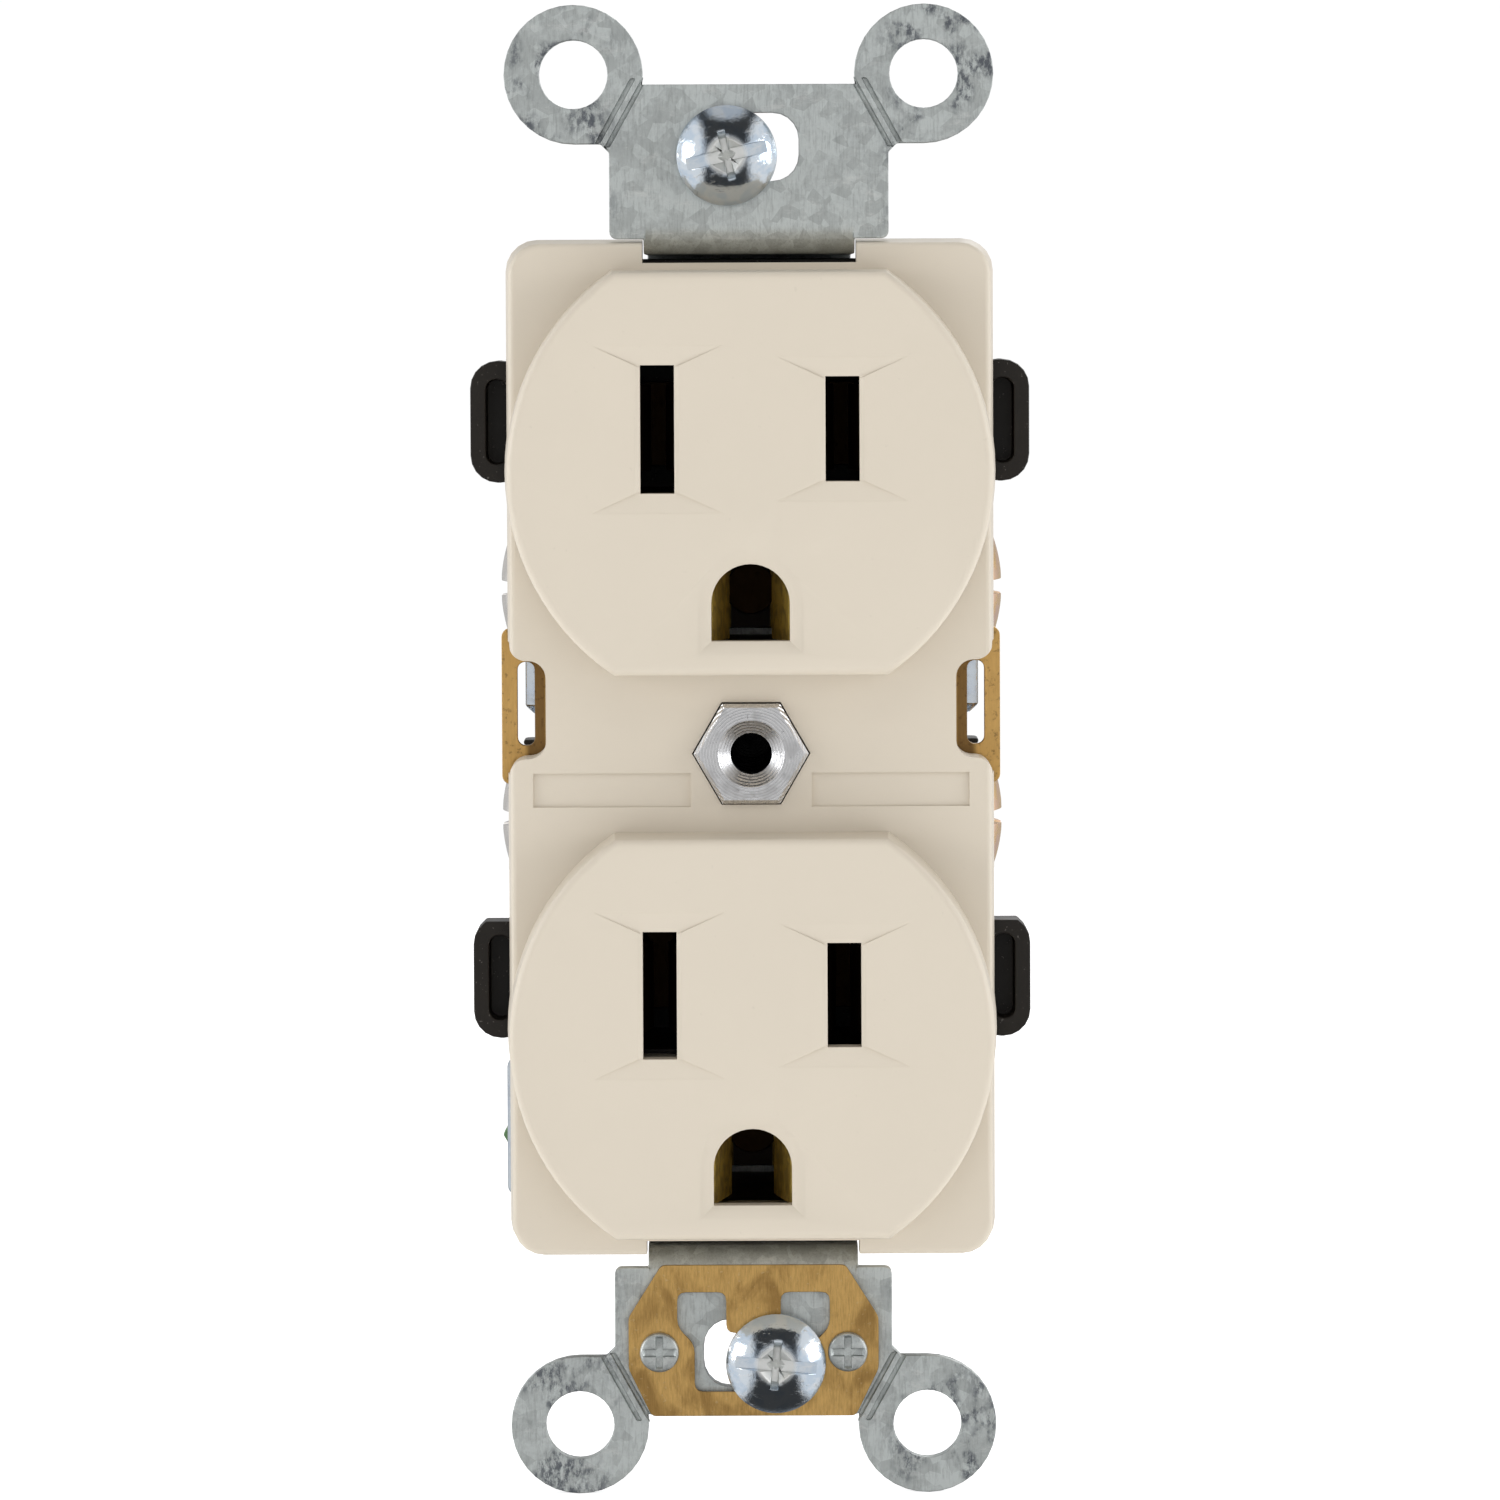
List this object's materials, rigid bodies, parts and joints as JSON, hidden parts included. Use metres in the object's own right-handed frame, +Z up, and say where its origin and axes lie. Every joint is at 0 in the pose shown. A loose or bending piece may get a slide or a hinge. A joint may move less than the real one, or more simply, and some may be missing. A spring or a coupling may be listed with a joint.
{
  "type": "duplex wall outlet",
  "caption": "Duplex three-pin wall outlet on a wrap-round steel strap, with side clamp terminals, break-off tabs and a self-grounding clip.",
  "frame": {"origin": "on the centre post's axis, in the plane of the backs of the strap's four ears, where they rest on the wall", "axes": "+X right seen from the front, +Y into the wall, +Z up with the ground holes below the blade slots"},
  "size_m": [0.039, 0.0345, 0.1034],
  "materials": {
    "ivory_plastic": "moulded ivory thermoplastic with a light satin gloss",
    "black_plastic": "black moulded thermoplastic, half gloss",
    "galvanised_steel": "galvanised strip steel, dull and mottled",
    "brass": "rolled brass strip, a little stained",
    "brass_screw": "brass-plated screw",
    "nickel": "nickel-plated screw",
    "zinc_steel": "zinc-plated steel plate",
    "zinc_screw": "bright zinc-plated screw",
    "aluminium": "machined aluminium with turning marks",
    "green_steel": "green passivated steel screw",
    "fibre": "vulcanised fibre, matt"
  },
  "bodies": {
    "root": {"face_cover": "ivory_plastic", "back_body": "black_plastic", "mounting_strap": "galvanised_steel", "self_ground_clip": "brass", "clip_rivet_left": "galvanised_steel", "clip_rivet_right": "galvanised_steel", "centre_post": "aluminium", "hot_bus_bar": "brass", "neutral_bus_bar": "brass", "ground_contact_upper": "brass", "ground_contact_lower": "brass", "ground_rivet_upper": "brass", "ground_rivet_lower": "brass"},
    "neutral_upper_clamp": {"neutral_upper_clamp": "zinc_steel"},
    "neutral_upper_screw": {"neutral_upper_screw": "nickel"},
    "neutral_lower_clamp": {"neutral_lower_clamp": "zinc_steel"},
    "neutral_lower_screw": {"neutral_lower_screw": "nickel"},
    "hot_upper_clamp": {"hot_upper_clamp": "zinc_steel"},
    "hot_upper_screw": {"hot_upper_screw": "brass_screw"},
    "hot_lower_clamp": {"hot_lower_clamp": "zinc_steel"},
    "hot_lower_screw": {"hot_lower_screw": "brass_screw"},
    "ground_clamp": {"ground_clamp": "zinc_steel"},
    "ground_screw": {"ground_screw": "green_steel"},
    "screw_keeper_upper": {"screw_keeper_upper": "fibre"},
    "mounting_screw_upper": {"mounting_screw_upper": "zinc_screw"},
    "screw_keeper_lower": {"screw_keeper_lower": "fibre"},
    "mounting_screw_lower": {"mounting_screw_lower": "zinc_screw"}
  },
  "joints": [
    {"name": "neutral_upper_clamp_travel", "type": "slide", "parent": "root", "child": "neutral_upper_clamp", "axis": [-1, 0, 0], "range_m": [-0.00031, 0.00238]},
    {"name": "neutral_upper_screw_turn", "type": "hinge", "parent": "neutral_upper_clamp", "child": "neutral_upper_screw", "pos_m": [-0.01617, 0.0095, 0.01115], "axis": [-1, 0, 0], "range_deg": [-141, 1082]},
    {"name": "neutral_lower_clamp_travel", "type": "slide", "parent": "root", "child": "neutral_lower_clamp", "axis": [-1, 0, 0], "range_m": [-0.00031, 0.00238]},
    {"name": "neutral_lower_screw_turn", "type": "hinge", "parent": "neutral_lower_clamp", "child": "neutral_lower_screw", "pos_m": [-0.01617, 0.0095, -0.00505], "axis": [-1, 0, 0], "range_deg": [-141, 1082]},
    {"name": "hot_upper_clamp_travel", "type": "slide", "parent": "root", "child": "hot_upper_clamp", "axis": [1, 0, 0], "range_m": [-0.00044, 0.00238]},
    {"name": "hot_upper_screw_turn", "type": "hinge", "parent": "hot_upper_clamp", "child": "hot_upper_screw", "pos_m": [0.0163, 0.0095, 0.01115], "axis": [1, 0, 0], "range_deg": [-201, 1082]},
    {"name": "hot_lower_clamp_travel", "type": "slide", "parent": "root", "child": "hot_lower_clamp", "axis": [1, 0, 0], "range_m": [-0.00044, 0.00238]},
    {"name": "hot_lower_screw_turn", "type": "hinge", "parent": "hot_lower_clamp", "child": "hot_lower_screw", "pos_m": [0.0163, 0.0095, -0.00505], "axis": [1, 0, 0], "range_deg": [-201, 1082]},
    {"name": "ground_clamp_travel", "type": "slide", "parent": "root", "child": "ground_clamp", "axis": [0, 1, 0], "range_m": [-0.00049, 0.00238]},
    {"name": "ground_screw_turn", "type": "hinge", "parent": "ground_clamp", "child": "ground_screw", "pos_m": [-0.0136, 0.0247, -0.0293], "axis": [0, 1, 0], "range_deg": [-221, 1082]},
    {"name": "screw_keeper_upper_shift", "type": "slide", "parent": "root", "child": "screw_keeper_upper", "axis": [1, 0, 0], "range_m": [-0.00007, 0.00313]},
    {"name": "mounting_screw_upper_turn", "type": "hinge", "parent": "screw_keeper_upper", "child": "mounting_screw_upper", "pos_m": [-0.00153, -0.0016, 0.04128], "axis": [0, -1, 0], "continuous": true},
    {"name": "screw_keeper_lower_shift", "type": "slide", "parent": "root", "child": "screw_keeper_lower", "axis": [1, 0, 0], "range_m": [-0.00315, 0.00005]},
    {"name": "mounting_screw_lower_turn", "type": "hinge", "parent": "screw_keeper_lower", "child": "mounting_screw_lower", "pos_m": [0.00155, -0.0021, -0.04248], "axis": [0, -1, 0], "continuous": true}
  ],
  "couplings": [
    {"joint": "neutral_upper_screw_turn", "follows": "neutral_upper_clamp_travel", "rad_per_m": 7915.8},
    {"joint": "neutral_lower_screw_turn", "follows": "neutral_lower_clamp_travel", "rad_per_m": 7915.8},
    {"joint": "hot_upper_screw_turn", "follows": "hot_upper_clamp_travel", "rad_per_m": 7915.8},
    {"joint": "hot_lower_screw_turn", "follows": "hot_lower_clamp_travel", "rad_per_m": 7915.8},
    {"joint": "ground_screw_turn", "follows": "ground_clamp_travel", "rad_per_m": 7915.8}
  ]
}
